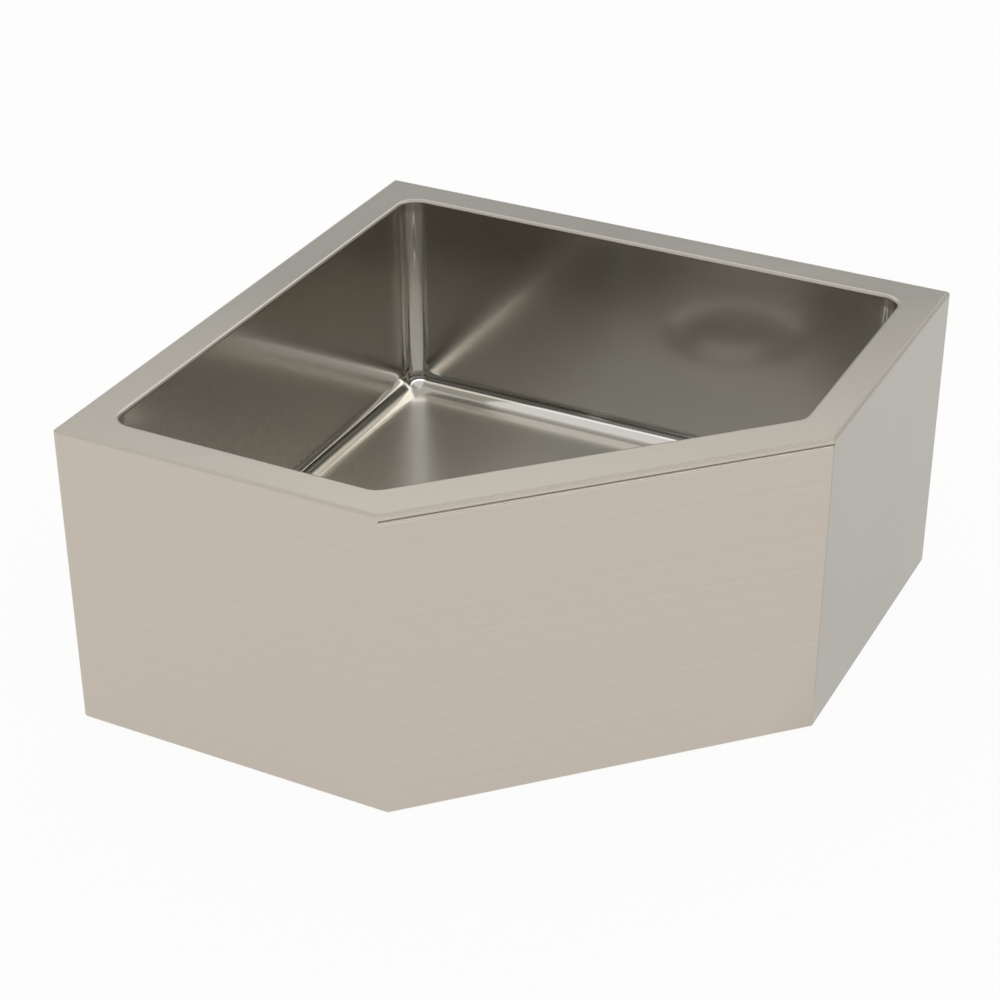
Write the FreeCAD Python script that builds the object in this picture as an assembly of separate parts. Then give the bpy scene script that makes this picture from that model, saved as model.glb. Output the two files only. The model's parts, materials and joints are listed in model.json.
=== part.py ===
import FreeCAD, Part
import math
import os

# Corner mop sink in stainless steel sheet, for the floor in the corner of a room.
# Plan: two equal legs along the room's walls, two short returns, and a diagonal front.
# Frame: origin under the middle of the sink on the floor, +Z up, the back corner towards +Y,
# the diagonal front facing -Y. All sizes are in millimetres.

# Overall sizes
LEG = 609.6                # back corner to side corner, along each room wall
WALL_ANGLE = 90.0          # between the room's walls, in degrees
FRONT_WIDTH = 406.4        # diagonal front, corner to corner
BOWL_DEPTH = 218.4         # rim to bowl floor
FLOOR_HEIGHT = 86.4        # room floor to bowl floor, space for the drain and its pipe
SHEET = 1.6                # 16 gauge sheet

# Rim and skirt, folded from sheet and mitred at the corners
RIM_WIDTH = 36.5           # flat rim along the walls and returns, outer face to bowl wall
FRONT_RIM_WIDTH = 42.0     # flat rim along the front
RIM_DROP = 12.0            # inner edge of the rim, turned down to meet the bowl wall
EDGE_BEND = 3.2            # outside radius of the folds and of the welded upright corners
HEM_WIDTH = 16.0           # bottom edge turned in on the floor
LIP_FACE = 0.6             # upright flat of the rim's front edge, between its two folds
LIP_RETURN = 18.0          # rim's front edge, rolled back under the rim
APRON_FLANGE = 24.0        # apron's top edge, turned in against that return

# Bowl
COVE = 19.05               # inside radius of every corner, between walls and at the floor
PAN_UPSTAND = 8.0          # straight edge of the floor pan above its cove

# Dished drain seat in the bowl floor
DISH_DEPTH = 6.0
DISH_SLOPE = 14.0          # width of the sloping ring
DISH_BLEND = 10.0          # radius at the top and foot of the slope
SEAT_MARGIN = 3.5          # flat seat outside the drain flange

# Drain for a pipe that comes up through the room floor
PIPE_DIAMETER = 88.9       # outside of a 3 inch pipe
PIPE_FIT = 0.3             # pipe to its seal, on the radius
PIPE_SEAL_WALL = 6.0
PIPE_SEAL_HEIGHT = 22.0
SEAL_NUT_HEIGHT = 12.0
SEAL_NUT_WALL = 5.0
SEAL_NUT_NOTCHES = 6
NOTCH_WIDTH = 8.0
NOTCH_DEPTH = 4.0
THREAD_FIT = 0.3           # between parts that screw together, on the radius
BODY_WALL = 4.5            # drain body's barrel
BODY_FOOT = 4.0            # inward foot that carries the pipe seal
FOOT_GAP = 1.5             # foot to pipe, beyond the pipe's own fit
HOLE_FIT = 1.5             # barrel in the sink's hole
FLANGE_WIDTH = 11.0        # drain flange beyond the barrel
FLANGE_THICKNESS = 4.0
FLANGE_BEVEL = 1.5         # slope at the flange's upper edge
SEAL_WASHER = 1.2          # soft washer between flange and seat
UNDER_GASKET = 3.0         # rubber gasket below the seat
SLIP_WASHER = 1.0          # smooth washer that lets the locknut turn
CLAMP_WIDTH = 14.0         # gasket and washers beyond the barrel
LOCKNUT_HEIGHT = 12.0
LOCKNUT_WALL = 7.0
LOCKNUT_LUGS = 6
LUG_WIDTH = 12.0
LUG_REACH = 6.0

# Lift-out strainer with its lint basket
STRAINER_LEDGE = 5.0       # width of the step in the flange that the strainer sits in
STRAINER_FIT = 0.7         # strainer in its step, on the radius
STRAINER_SHEET = 1.2
STRAINER_RISE = 6.0        # height of the raised top
STRAINER_RIM = 6.0         # flat ring round the raised top
STRAINER_SLOPE = 7.0       # width of the slope between them
STRAINER_HOLE = 6.4
STRAINER_RINGS = 3
STRAINER_RING_STEP = 11.5  # from one ring of holes to the next
HOLES_PER_RING = 6         # in the first ring, and as many more in each ring after it
BASKET_DEPTH = 20.0
BASKET_TAPER = 8.0         # how much narrower the basket's foot is, on the radius
BASKET_SLOTS = 12
SLOT_WIDTH = 3.0
SLOT_MARGIN = 5.0          # solid basket wall above and below the slots
BASKET_HOLE = 6.0
BASKET_HOLES = 8
BASKET_GAP = 3.0           # strainer nut to the seal nut
STRAINER_SCREW = 6.0
SCREW_FIT = 0.25           # screw in its holes, on the radius
SCREW_HEAD = 13.0
SCREW_HEAD_HEIGHT = 3.0
SCREW_HEAD_BEVEL = 1.8     # slope round the head
STRAINER_NUT = 10.0        # across flats
NUT_SIDES = 6
STRAINER_NUT_HEIGHT = 5.0
SCREW_TIP = 1.0            # screw beyond its nut

# Under the bowl floor
STIFFENER_HEIGHT = 25.0
STIFFENER_CROWN = 30.0
STIFFENER_FLANGE = 15.0
STIFFENER_BEND = 3.2
STIFFENER_GAP = 20.0       # from the dish to the nearer flange
STIFFENER_END = 8.0        # from the floor cove to the stiffener's end
PAD_THICKNESS = 3.0
PAD_WIDTH = 80.0
PAD_LENGTH = 100.0
PAD_CORNER = 8.0
PAD_GAP = 15.0             # pad to its neighbour

# Heights and places that follow from the sizes above
HEIGHT = FLOOR_HEIGHT + BOWL_DEPTH
HALF_ANGLE = math.radians(WALL_ANGLE) / 2
SIDE_X = LEG * math.sin(HALF_ANGLE)
RETURN = (SIDE_X - FRONT_WIDTH / 2) / math.cos(HALF_ANGLE)
DEPTH = LEG * math.cos(HALF_ANGLE) + RETURN * math.sin(HALF_ANGLE)
ROUNDED_OFF = EDGE_BEND / math.sin(HALF_ANGLE) - EDGE_BEND
Y_BACK = (DEPTH + ROUNDED_OFF) / 2
Y_FRONT = Y_BACK - DEPTH
DRAIN_Y = Y_BACK - LEG * math.cos(HALF_ANGLE)
PAN_TOP = FLOOR_HEIGHT + COVE + PAN_UPSTAND
FLOOR_UNDERSIDE = FLOOR_HEIGHT - SHEET
LIP_Z = HEIGHT - 2 * EDGE_BEND - LIP_FACE

SEAL_INNER = PIPE_DIAMETER / 2 + PIPE_FIT
BARREL_INNER = SEAL_INNER + PIPE_SEAL_WALL + THREAD_FIT
BARREL_OUTER = BARREL_INNER + BODY_WALL
HOLE_RADIUS = BARREL_OUTER + HOLE_FIT
FLANGE_RADIUS = BARREL_OUTER + FLANGE_WIDTH
CLAMP_RADIUS = BARREL_OUTER + CLAMP_WIDTH
SEAT_RADIUS = FLANGE_RADIUS + SEAT_MARGIN
DISH_RADIUS = SEAT_RADIUS + DISH_SLOPE
RECESS_RADIUS = BARREL_INNER + STRAINER_LEDGE
STRAINER_RADIUS = RECESS_RADIUS - STRAINER_FIT

SEAT_Z = FLOOR_HEIGHT - DISH_DEPTH
FLANGE_Z = SEAT_Z + SEAL_WASHER
FLANGE_TOP = FLANGE_Z + FLANGE_THICKNESS
LEDGE_Z = FLANGE_TOP - 2 * STRAINER_SHEET
BASKET_Z = LEDGE_Z + STRAINER_SHEET - BASKET_DEPTH
STRAINER_NUT_Z = BASKET_Z - STRAINER_NUT_HEIGHT
SEAL_NUT_Z = STRAINER_NUT_Z - SCREW_TIP - BASKET_GAP - SEAL_NUT_HEIGHT
PIPE_SEAL_Z = SEAL_NUT_Z - PIPE_SEAL_HEIGHT
BODY_Z = PIPE_SEAL_Z - BODY_FOOT
GASKET_Z = SEAT_Z - SHEET - UNDER_GASKET
SLIP_WASHER_Z = GASKET_Z - SLIP_WASHER
LOCKNUT_Z = SLIP_WASHER_Z - LOCKNUT_HEIGHT

# The five sides in order round the plan, with the direction that each one faces and its distance
# from the origin. The returns stand square to the back sides.
SIDES = ["back_right", "back_left", "left", "front", "right"]
QUARTER = math.pi / 2
FACING = {"back_right": HALF_ANGLE, "back_left": 2 * QUARTER - HALF_ANGLE,
          "left": -QUARTER - HALF_ANGLE, "front": -QUARTER, "right": HALF_ANGLE - QUARTER}
BACK_REACH = Y_BACK * math.sin(HALF_ANGLE)
RETURN_REACH = LEG - Y_BACK * math.cos(HALF_ANGLE)
REACH = {"back_right": BACK_REACH, "back_left": BACK_REACH,
         "left": RETURN_REACH, "front": -Y_FRONT, "right": RETURN_REACH}
RIM = {side: RIM_WIDTH for side in SIDES}
RIM["front"] = FRONT_RIM_WIDTH

OVERCUT = 5.0              # how far a cutting tool runs past what it cuts
LEVEL_TOLERANCE = 0.001

Vec = FreeCAD.Vector
UP = Vec(0, 0, 1)
ORIGIN = Vec(0, 0, 0)


def next_side(side):
    """The side that follows this one round the plan."""
    return SIDES[(SIDES.index(side) + 1) % len(SIDES)]


def side_before(side):
    """The side that comes before this one round the plan."""
    return SIDES[SIDES.index(side) - 1]


def facing(side):
    """Unit vector that points straight out of a side."""
    return Vec(math.cos(FACING[side]), math.sin(FACING[side]), 0)


def corner(side, inset, z=0.0, rims=0.0):
    """Where a side meets the next one, both moved inwards by the inset and so many rim widths."""
    following = next_side(side)
    first = facing(side)
    second = facing(following)
    reach_first = REACH[side] - inset - rims * RIM[side]
    reach_second = REACH[following] - inset - rims * RIM[following]
    cross = first.x * second.y - first.y * second.x
    x = (reach_first * second.y - reach_second * first.y) / cross
    y = (first.x * reach_second - second.x * reach_first) / cross
    return Vec(x, y, z)


def rounded_wire(points, radii):
    """Closed wire through the points, with an arc at each corner that has a radius."""
    count = len(points)
    arcs = []
    for i, (point, radius) in enumerate(zip(points, radii)):
        to_last = (points[i - 1] - point).normalize()
        to_next = (points[(i + 1) % count] - point).normalize()
        half_angle = to_last.getAngle(to_next) / 2
        bisector = (to_last + to_next).normalize() if radius else ORIGIN
        run = radius / math.tan(half_angle)
        middle = point + bisector * (radius / math.sin(half_angle) - radius)
        arcs.append((point + to_last * run, middle, point + to_next * run))
    edges = []
    for i, (start, middle, end) in enumerate(arcs):
        if radii[i]:
            edges.append(Part.Arc(start, middle, end).toShape())
        following = arcs[(i + 1) % count][0]
        if end.distanceToPoint(following) > LEVEL_TOLERANCE:
            edges.append(Part.LineSegment(end, following).toShape())
    return Part.Wire(edges)


def rounded_face(points, radii):
    """Flat face inside a rounded wire."""
    return Part.Face(rounded_wire(points, radii))


def prism(inset, low, high, rims=0.0, corner_radius=0.0):
    """Upright five-sided prism, its sides moved inwards as in corner()."""
    points = [corner(side, inset, low, rims) for side in SIDES]
    return rounded_face(points, [corner_radius] * len(SIDES)).extrude(UP * (high - low))


def bowl_prism(beyond, low, high):
    """Prism with the plan of the bowl's inside, or the plan so far beyond it."""
    return prism(-beyond, low, high, rims=1, corner_radius=COVE + beyond)


def block(x_low, x_high, y_low, y_high, low, high):
    """Rectangular block between the given limits."""
    return Part.makeBox(x_high - x_low, y_high - y_low, high - low, Vec(x_low, y_low, low))


def is_level(edge, level):
    """Whether an edge lies wholly in one level plane."""
    box = edge.BoundBox
    return abs(box.ZMin - level) < LEVEL_TOLERANCE and abs(box.ZMax - level) < LEVEL_TOLERANCE


def shared_edges(solid, other, level):
    """Edges of a solid in one level plane that also lie on another solid."""
    found = []
    for edge in solid.Edges:
        middle = edge.valueAt((edge.FirstParameter + edge.LastParameter) / 2)
        if is_level(edge, level) and other.isInside(middle, LEVEL_TOLERANCE, True):
            found.append(edge)
    return found


def revolved(profile, radii=None):
    """Solid turned about the drain's axis from a profile of (radius, height) points."""
    points = [Vec(r, 0, z) for r, z in profile]
    return rounded_face(points, radii or [0] * len(points)).revolve(ORIGIN, UP, 360)


def ring(inner, outer, low, height):
    """Plain flat ring about the drain's axis."""
    return revolved([(inner, low), (outer, low), (outer, low + height), (inner, low + height)])


def round_pattern(shape, count):
    """Copies of a shape spaced evenly about the drain's axis."""
    copies = []
    for i in range(count):
        copy = shape.copy()
        copy.rotate(ORIGIN, UP, 360 * i / count)
        copies.append(copy)
    return copies


def mirrored(shape):
    """The same shape on the other side of the sink."""
    return shape.mirror(ORIGIN, Vec(1, 0, 0))


def outer_block(inset):
    """The sink's outer form as a solid block, this far inside it, with every edge rounded."""
    block_form = prism(inset, inset, HEIGHT - inset)
    return block_form.makeFillet(EDGE_BEND - inset, block_form.Edges)


def ring_bar(inset):
    """Bar round the bowl, from the outer form to the bowl's wall, with a rounded edge at the bowl."""
    top = HEIGHT - inset
    bowl = bowl_prism(inset, -OVERCUT, HEIGHT + OVERCUT)
    bar = outer_block(inset).cut(bowl)
    return bar.makeFillet(EDGE_BEND - inset, shared_edges(bar, bowl, top))


def folded_frame():
    """Rim, skirt and hem as one bent sheet round the sink, before it is cut into panels.

    A solid bar with rounded edges, less the same bar one sheet smaller, leaves a box section.
    The inside of the box below the rim's drop is then cut away, which leaves the hem.
    """
    below_drop = prism(HEM_WIDTH, -OVERCUT, HEIGHT - RIM_DROP)
    return ring_bar(0).cut(ring_bar(SHEET)).cut(below_drop)


def mitre_zone(side):
    """Everything that belongs to one side: the space between the mitre planes at its two ends.

    Each mitre runs through the rim's outer corner and its corner at the bowl, and on past the cove.
    """
    before = side_before(side)
    outer = -OVERCUT / RIM_WIDTH
    inner = 1 + COVE / RIM_WIDTH
    ends = [(before, outer), (side, outer), (side, inner), (before, inner)]
    points = [corner(name, 0, -OVERCUT, rims) for name, rims in ends]
    return Part.Face(Part.makePolygon(points + points[:1])).extrude(UP * (HEIGHT + 2 * OVERCUT))


def folded_panel(frame, side):
    """Back panel or return: rim, skirt and hem in one folded sheet, mitred at both ends."""
    return frame.common(mitre_zone(side)).removeSplitter()


def front_piece(section, radii):
    """Sheet of one section along the front, mitred at both ends and rounded at the upright corners."""
    half = FRONT_WIDTH / 2 + OVERCUT
    points = [Vec(-half, y, z) for y, z in section]
    sheet = rounded_face(points, radii).extrude(Vec(2 * half, 0, 0))
    return sheet.common(mitre_zone("front")).common(outer_block(0))


def front_rim(frame):
    """Front strip of the rim, with its front edge rolled back under it and its drop into the bowl."""
    half = FRONT_WIDTH / 2 + OVERCUT
    fold_low = HEIGHT - EDGE_BEND
    skirt = block(-half, half, Y_FRONT - OVERCUT, Y_FRONT + FRONT_RIM_WIDTH - 2 * SHEET,
                  -OVERCUT, fold_low)
    strip = frame.common(mitre_zone("front")).cut(skirt)
    inside_y = Y_FRONT + SHEET
    back_y = Y_FRONT + LIP_RETURN
    section = [(Y_FRONT, fold_low), (Y_FRONT, LIP_Z), (back_y, LIP_Z),
               (back_y, LIP_Z + SHEET), (inside_y, LIP_Z + SHEET), (inside_y, fold_low)]
    roll = front_piece(section, [0, EDGE_BEND, 0, 0, EDGE_BEND - SHEET, 0])
    return strip.fuse(roll).removeSplitter()


def front_apron():
    """Front panel below the rolled edge: top edge turned in against it, bottom edge hemmed."""
    inside_y = Y_FRONT + SHEET
    hem_y = Y_FRONT + HEM_WIDTH
    flange_y = Y_FRONT + APRON_FLANGE
    section = [(flange_y, LIP_Z), (Y_FRONT, LIP_Z), (Y_FRONT, 0), (hem_y, 0),
               (hem_y, SHEET), (inside_y, SHEET), (inside_y, LIP_Z - SHEET), (flange_y, LIP_Z - SHEET)]
    inside_bend = EDGE_BEND - SHEET
    radii = [0, EDGE_BEND, EDGE_BEND, 0, 0, inside_bend, inside_bend, 0]
    return front_piece(section, radii).removeSplitter()


def bowl_walls():
    """The five walls of the bowl, one band of sheet bent to a cove at each corner."""
    top = HEIGHT - RIM_DROP
    inside = bowl_prism(0, PAN_TOP - OVERCUT, top + OVERCUT)
    return bowl_prism(SHEET, PAN_TOP, top).cut(inside)


def dish_profile():
    """Section of the dished drain seat, one sheet thick, from its outer edge in to the hole."""
    outer = DISH_RADIUS + DISH_BLEND
    slope = math.atan2(DISH_DEPTH, DISH_SLOPE)
    shift = SHEET * math.tan(slope / 2)
    profile = [(outer, FLOOR_HEIGHT), (DISH_RADIUS, FLOOR_HEIGHT), (SEAT_RADIUS, SEAT_Z),
               (HOLE_RADIUS, SEAT_Z), (HOLE_RADIUS, SEAT_Z - SHEET), (SEAT_RADIUS - shift, SEAT_Z - SHEET),
               (DISH_RADIUS - shift, FLOOR_UNDERSIDE), (outer, FLOOR_UNDERSIDE)]
    radii = [0, DISH_BLEND, DISH_BLEND, 0, 0, DISH_BLEND + SHEET, DISH_BLEND - SHEET, 0]
    return profile, radii


def bowl_block(beyond, high):
    """The bowl's inside up to a height, or so far beyond it, as a solid with a ball at each low corner."""
    sharp = prism(-beyond, FLOOR_HEIGHT - beyond, high, rims=1)
    rounded = [edge for edge in sharp.Edges if not is_level(edge, high)]
    return sharp.makeFillet(COVE + beyond, rounded)


def bowl_floor():
    """Floor pan: flat floor, coved and turned up at all five walls, with the dished drain seat."""
    pan = bowl_block(SHEET, PAN_TOP).cut(bowl_block(0, PAN_TOP + OVERCUT))
    profile, radii = dish_profile()
    dish = at_drain(revolved(profile, radii))
    clearing = Part.makeCylinder(DISH_RADIUS + DISH_BLEND, PAN_TOP, Vec(0, DRAIN_Y, 0))
    return pan.cut(clearing).fuse(dish).removeSplitter()


def flat_floor_y(x):
    """Front and back limits of the flat floor at a distance from the middle line."""
    inset = COVE + STIFFENER_END
    back = corner("back_right", inset, rims=1).y - abs(x) / math.tan(HALF_ANGLE)
    return Y_FRONT + FRONT_RIM_WIDTH + inset, back


def right_stiffener():
    """Hat section bonded under the floor beside the drain, running front to back."""
    half_crown = STIFFENER_CROWN / 2
    half_width = half_crown + STIFFENER_FLANGE
    middle = DISH_RADIUS + STIFFENER_GAP + half_width
    front, back = flat_floor_y(middle + half_width)
    top = FLOOR_UNDERSIDE
    crown = top - STIFFENER_HEIGHT
    inner = half_crown - SHEET
    half_section = [(half_width, top), (half_width, top - SHEET),
                    (half_crown, top - SHEET), (half_crown, crown)]
    half_under = [(inner, crown + SHEET), (inner, top)]
    section = half_section + [(-x, z) for x, z in reversed(half_section)]
    section += [(-x, z) for x, z in reversed(half_under)] + half_under
    inside_bend = STIFFENER_BEND - SHEET
    half_radii = [0, 0, inside_bend, STIFFENER_BEND]
    under_radii = [inside_bend, STIFFENER_BEND]
    radii = half_radii + half_radii[::-1] + under_radii[::-1] + under_radii
    points = [Vec(middle + x, front, z) for x, z in section]
    return rounded_face(points, radii).extrude(Vec(0, back - front, 0))


def sound_pad(x, y, width, length):
    """Damping pad bonded to the underside of the floor, centred on (x, y)."""
    low = FLOOR_UNDERSIDE - PAD_THICKNESS
    corners = ((-1, -1), (1, -1), (1, 1), (-1, 1))
    points = [Vec(x + i * width / 2, y + j * length / 2, low) for i, j in corners]
    return rounded_face(points, [PAD_CORNER] * len(points)).extrude(UP * PAD_THICKNESS)


def right_sound_pad():
    """Pad between the right stiffener and the side corner, level with the drain."""
    stiffener_edge = DISH_RADIUS + STIFFENER_GAP + STIFFENER_CROWN + 2 * STIFFENER_FLANGE
    return sound_pad(stiffener_edge + PAD_GAP + PAD_WIDTH / 2, DRAIN_Y, PAD_WIDTH, PAD_LENGTH)


def back_sound_pad():
    """Pad between the drain and the back corner."""
    front = DRAIN_Y + DISH_RADIUS + DISH_BLEND + PAD_GAP
    return sound_pad(0, front + PAD_WIDTH / 2, PAD_LENGTH, PAD_WIDTH)


def drain_body():
    """Turned drain body: flange, strainer step, barrel, and a foot that carries the pipe seal."""
    foot = SEAL_INNER + FOOT_GAP
    return revolved([
        (FLANGE_RADIUS, FLANGE_Z), (FLANGE_RADIUS, FLANGE_TOP - FLANGE_BEVEL),
        (FLANGE_RADIUS - FLANGE_BEVEL, FLANGE_TOP), (RECESS_RADIUS, FLANGE_TOP),
        (RECESS_RADIUS, LEDGE_Z), (BARREL_INNER, LEDGE_Z), (BARREL_INNER, PIPE_SEAL_Z),
        (foot, PIPE_SEAL_Z), (foot, BODY_Z), (BARREL_OUTER, BODY_Z), (BARREL_OUTER, FLANGE_Z)])


def drain_locknut():
    """Round nut under the sink that pulls the flange down, with lugs for a spanner."""
    outer = BARREL_OUTER + LOCKNUT_WALL
    lug = block(outer - LOCKNUT_WALL / 2, outer + LUG_REACH, -LUG_WIDTH / 2, LUG_WIDTH / 2,
                LOCKNUT_Z, LOCKNUT_Z + LOCKNUT_HEIGHT)
    collar = ring(BARREL_OUTER + THREAD_FIT, outer, LOCKNUT_Z, LOCKNUT_HEIGHT)
    return collar.fuse(round_pattern(lug, LOCKNUT_LUGS)).removeSplitter()


def pipe_seal_nut():
    """Ring nut inside the barrel that squeezes the pipe seal, notched for its key."""
    outer = BARREL_INNER - THREAD_FIT
    inner = outer - SEAL_NUT_WALL
    top = SEAL_NUT_Z + SEAL_NUT_HEIGHT
    notch = block(inner - OVERCUT, outer + OVERCUT, -NOTCH_WIDTH / 2, NOTCH_WIDTH / 2,
                  top - NOTCH_DEPTH, top + OVERCUT)
    return ring(inner, outer, SEAL_NUT_Z, SEAL_NUT_HEIGHT).cut(round_pattern(notch, SEAL_NUT_NOTCHES))


def strainer_plate():
    """Perforated plate with a raised top, which sits in the flange's step on the basket's rim."""
    low = LEDGE_Z + STRAINER_SHEET
    foot = STRAINER_RADIUS - STRAINER_RIM
    crown = foot - STRAINER_SLOPE
    lean = STRAINER_SHEET * math.tan(math.atan2(STRAINER_RISE, STRAINER_SLOPE) / 2)
    under = low + STRAINER_RISE
    plate = revolved([
        (0, under), (crown, under), (foot, low), (STRAINER_RADIUS, low),
        (STRAINER_RADIUS, low + STRAINER_SHEET), (foot + lean, low + STRAINER_SHEET),
        (crown + lean, under + STRAINER_SHEET), (0, under + STRAINER_SHEET)])
    drills = [ring(0, STRAINER_SCREW / 2 + SCREW_FIT, under, STRAINER_SHEET)]
    for i in range(1, STRAINER_RINGS + 1):
        place = Vec(i * STRAINER_RING_STEP, 0, under)
        drill = Part.makeCylinder(STRAINER_HOLE / 2, STRAINER_SHEET, place)
        drills += round_pattern(drill, i * HOLES_PER_RING)
    return plate.cut(drills)


def lint_basket():
    """Tapered cup that hangs from its rim, slotted round the wall and drilled in the foot."""
    top = LEDGE_Z + STRAINER_SHEET
    mouth = BARREL_INNER - STRAINER_FIT
    foot = mouth - BASKET_TAPER
    wall = STRAINER_SHEET
    profile = [(0, BASKET_Z), (foot, BASKET_Z), (mouth, LEDGE_Z), (STRAINER_RADIUS, LEDGE_Z),
               (STRAINER_RADIUS, top), (mouth - wall, top),
               (foot - wall, BASKET_Z + wall), (0, BASKET_Z + wall)]
    cup = revolved(profile)
    slot = block(foot - 2 * wall, mouth + wall, -SLOT_WIDTH / 2, SLOT_WIDTH / 2,
                 BASKET_Z + SLOT_MARGIN, top - SLOT_MARGIN)
    drill = Part.makeCylinder(BASKET_HOLE / 2, 2 * wall, Vec(foot / 2, 0, BASKET_Z - wall / 2))
    middle = Part.makeCylinder(STRAINER_SCREW / 2 + SCREW_FIT, 2 * wall, Vec(0, 0, BASKET_Z - wall / 2))
    return cup.cut(round_pattern(slot, BASKET_SLOTS) + round_pattern(drill, BASKET_HOLES) + [middle])


def strainer_screw():
    """Screw that holds the strainer plate to the basket."""
    seat = LEDGE_Z + 2 * STRAINER_SHEET + STRAINER_RISE
    half_head = SCREW_HEAD / 2
    shank = STRAINER_SCREW / 2
    tip = STRAINER_NUT_Z - SCREW_TIP
    top = seat + SCREW_HEAD_HEIGHT
    return revolved([
        (0, tip), (shank, tip), (shank, seat), (half_head, seat),
        (half_head, top - SCREW_HEAD_BEVEL), (half_head - SCREW_HEAD_BEVEL, top), (0, top)])


def strainer_nut():
    """Hexagon nut under the basket."""
    turn = 2 * math.pi / NUT_SIDES
    corner_radius = STRAINER_NUT / 2 / math.cos(turn / 2)
    points = [Vec(corner_radius * math.cos(i * turn), corner_radius * math.sin(i * turn), STRAINER_NUT_Z)
              for i in range(NUT_SIDES)]
    hexagon = Part.Face(Part.makePolygon(points + points[:1])).extrude(UP * STRAINER_NUT_HEIGHT)
    bore = ring(0, STRAINER_SCREW / 2 + SCREW_FIT, STRAINER_NUT_Z, STRAINER_NUT_HEIGHT)
    return hexagon.cut(bore)


def at_drain(shape):
    """Moves a shape made about the origin to the drain's axis."""
    shape.translate(Vec(0, DRAIN_Y, 0))
    return shape


def sink_body():
    """The folded and welded sheet metal, with what is bonded under the floor."""
    frame = folded_frame()
    stiffener = right_stiffener()
    pad = right_sound_pad()
    return {
        "back_left_panel": folded_panel(frame, "back_left"),
        "back_right_panel": folded_panel(frame, "back_right"),
        "left_panel": folded_panel(frame, "left"),
        "right_panel": folded_panel(frame, "right"),
        "front_rim": front_rim(frame),
        "front_apron": front_apron(),
        "bowl_walls": bowl_walls(),
        "bowl_floor": bowl_floor(),
        "left_stiffener": mirrored(stiffener),
        "right_stiffener": stiffener,
        "left_sound_pad": mirrored(pad),
        "right_sound_pad": pad,
        "back_sound_pad": back_sound_pad(),
    }


def drain_set():
    """The drain and its lift-out strainer, about the drain's axis."""
    under = BARREL_OUTER + THREAD_FIT
    return {
        "drain_body": drain_body(),
        "drain_flange_washer": ring(under, FLANGE_RADIUS, SEAT_Z, SEAL_WASHER),
        "drain_under_gasket": ring(under, CLAMP_RADIUS, GASKET_Z, UNDER_GASKET),
        "drain_slip_washer": ring(under, CLAMP_RADIUS, SLIP_WASHER_Z, SLIP_WASHER),
        "drain_locknut": drain_locknut(),
        "pipe_seal": ring(SEAL_INNER, SEAL_INNER + PIPE_SEAL_WALL, PIPE_SEAL_Z, PIPE_SEAL_HEIGHT),
        "pipe_seal_nut": pipe_seal_nut(),
        "strainer_plate": strainer_plate(),
        "lint_basket": lint_basket(),
        "strainer_screw": strainer_screw(),
        "strainer_nut": strainer_nut(),
    }


nodes = sink_body()
for name, shape in drain_set().items():
    nodes[name] = at_drain(shape)

os.makedirs("parts", exist_ok=True)
for name, shape in nodes.items():
    shape.exportStep("parts/" + name + ".step")
    box = shape.BoundBox
    print(name, "solids", len(shape.Solids), "valid", shape.isValid(), "volume", round(shape.Volume),
          "from", round(box.XMin, 1), round(box.YMin, 1), round(box.ZMin, 1),
          "to", round(box.XMax, 1), round(box.YMax, 1), round(box.ZMax, 1))
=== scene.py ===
# %% [markdown]
# # A corner mop sink of folded stainless sheet
# The sink stands on the floor in the corner of a room. Two long panels go against the walls, two
# short returns come forward, and a diagonal front closes the plan, so seen from above it has five
# sides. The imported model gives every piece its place. It is loaded first, and nothing in it moves.

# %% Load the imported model
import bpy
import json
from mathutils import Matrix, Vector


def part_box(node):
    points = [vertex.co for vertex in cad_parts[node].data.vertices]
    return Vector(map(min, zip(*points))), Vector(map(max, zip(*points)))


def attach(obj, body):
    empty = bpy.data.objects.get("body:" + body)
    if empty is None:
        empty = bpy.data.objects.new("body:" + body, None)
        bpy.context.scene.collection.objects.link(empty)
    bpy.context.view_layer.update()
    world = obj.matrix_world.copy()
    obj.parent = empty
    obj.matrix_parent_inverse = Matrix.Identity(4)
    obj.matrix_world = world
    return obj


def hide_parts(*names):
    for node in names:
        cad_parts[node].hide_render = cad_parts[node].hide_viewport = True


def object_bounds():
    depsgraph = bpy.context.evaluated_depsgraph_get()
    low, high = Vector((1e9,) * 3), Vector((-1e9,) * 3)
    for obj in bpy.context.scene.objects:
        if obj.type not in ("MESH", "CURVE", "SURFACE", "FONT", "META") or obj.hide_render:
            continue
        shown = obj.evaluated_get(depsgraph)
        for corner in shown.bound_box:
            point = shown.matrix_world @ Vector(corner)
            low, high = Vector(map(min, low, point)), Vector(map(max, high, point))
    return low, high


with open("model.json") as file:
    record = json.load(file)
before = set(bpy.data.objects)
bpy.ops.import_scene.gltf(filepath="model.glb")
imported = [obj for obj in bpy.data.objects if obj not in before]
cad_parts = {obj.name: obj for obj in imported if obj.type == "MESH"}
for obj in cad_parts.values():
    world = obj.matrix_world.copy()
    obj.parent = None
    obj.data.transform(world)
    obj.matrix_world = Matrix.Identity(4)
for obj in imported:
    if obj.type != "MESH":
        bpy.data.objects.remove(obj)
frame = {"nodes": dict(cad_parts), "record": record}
cad_low, cad_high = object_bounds()
print("nodes:", len(frame["nodes"]), "box:", [round(v, 4) for v in cad_high - cad_low])

# %% Modules for the rest of the lesson
import json
import math
import bpy
import numpy as np
from mathutils import Matrix, Vector

# %% [markdown]
# ## The plan
# Folded sheet looks right when every edge is an exact offset of one outline. So the plan is kept as
# five corners and five directions. A corner that moves inwards slides along its mitre line at a
# constant rate, and the front rim is a little wider than the others, so a corner also has a step
# that takes it from the outer face to the bowl. These two facts give every rim, wall and cove.

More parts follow.
